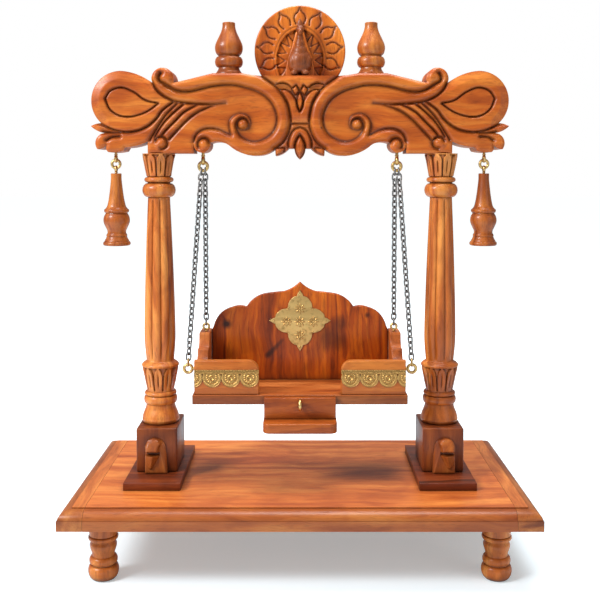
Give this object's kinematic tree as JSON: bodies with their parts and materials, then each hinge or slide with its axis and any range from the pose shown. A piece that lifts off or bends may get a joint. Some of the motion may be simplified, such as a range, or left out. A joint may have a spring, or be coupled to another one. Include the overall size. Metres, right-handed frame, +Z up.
{
  "type": "jhoola swing",
  "caption": "Carved wooden tabletop jhoola: footed plank, turned reeded pillars, scroll-carved crest beam with peacock disc, and a cusped-back seat hung on chains",
  "frame": {"origin": "on the ground under the middle of the base plank", "axes": "+X along the plank to the right seen from the front, +Y from front to back, +Z up"},
  "size_m": [0.481, 0.252, 0.6],
  "materials": {
    "base_wood": "satin",
    "plate_wood": "satin",
    "turned_wood": "satin",
    "seat_wood": "satin",
    "brass": "satin",
    "chain_steel": "satin"
  },
  "bodies": {
    "frame": {"base_board": "base_wood", "base_cleat_left": "base_wood", "base_cleat_right": "base_wood", "foot_front_left": "base_wood", "foot_front_right": "base_wood", "foot_rear_left": "base_wood", "foot_rear_right": "base_wood", "plinth_plate_left": "plate_wood", "plinth_plate_right": "plate_wood", "pillar_block_left": "turned_wood", "pillar_block_right": "turned_wood", "bird_bracket_left": "turned_wood", "bird_bracket_right": "turned_wood", "pillar_left": "turned_wood", "pillar_right": "turned_wood", "finial_left": "turned_wood", "finial_right": "turned_wood", "crest_beam": "turned_wood", "crest_disc": "turned_wood", "peacock": "turned_wood", "swing_hook_left": "brass", "swing_hook_right": "brass", "pendant_hook_left": "brass", "pendant_hook_right": "brass"},
    "swing": {"swing_ring_left": "brass", "swing_ring_right": "brass", "chain_front_left": "chain_steel", "chain_front_right": "chain_steel", "chain_rear_left": "chain_steel", "chain_rear_right": "chain_steel", "front_eye_left": "brass", "front_eye_right": "brass", "rear_eye_left": "brass", "rear_eye_right": "brass", "side_panel_left": "seat_wood", "side_panel_right": "seat_wood", "front_panel_left": "seat_wood", "front_panel_right": "seat_wood", "lace_strip_left": "brass", "lace_strip_right": "brass", "connecting_links": "brass", "seat_board": "seat_wood", "backrest": "seat_wood", "backrest_plate": "brass", "riser_board": "seat_wood", "step_board": "seat_wood", "pull_eye": "brass"},
    "pendant_ring_body_left": {"pendant_ring_left": "brass"},
    "pendant_body_left": {"pendant_left": "turned_wood", "pendant_eye_left": "brass"},
    "pendant_ring_body_right": {"pendant_ring_right": "brass"},
    "pendant_body_right": {"pendant_right": "turned_wood", "pendant_eye_right": "brass"}
  },
  "joints": [
    {"name": "swing_hinge", "type": "hinge", "parent": "frame", "child": "swing", "pos_m": [0, 0, 0.42825], "axis": [1, 0, 0], "range_deg": [-22, 22]},
    {"name": "pendant_ring_hinge_left", "type": "hinge", "parent": "frame", "child": "pendant_ring_body_left", "pos_m": [-0.2026, 0, 0.4279], "axis": [0, 1, 0], "range_deg": [-8, 18]},
    {"name": "pendant_hinge_left", "type": "hinge", "parent": "pendant_ring_body_left", "child": "pendant_body_left", "pos_m": [-0.2026, 0, 0.4205], "axis": [1, 0, 0], "range_deg": [-25, 25]},
    {"name": "pendant_ring_hinge_right", "type": "hinge", "parent": "frame", "child": "pendant_ring_body_right", "pos_m": [0.2026, 0, 0.4279], "axis": [0, 1, 0], "range_deg": [-18, 8]},
    {"name": "pendant_hinge_right", "type": "hinge", "parent": "pendant_ring_body_right", "child": "pendant_body_right", "pos_m": [0.2026, 0, 0.4205], "axis": [1, 0, 0], "range_deg": [-25, 25]}
  ]
}
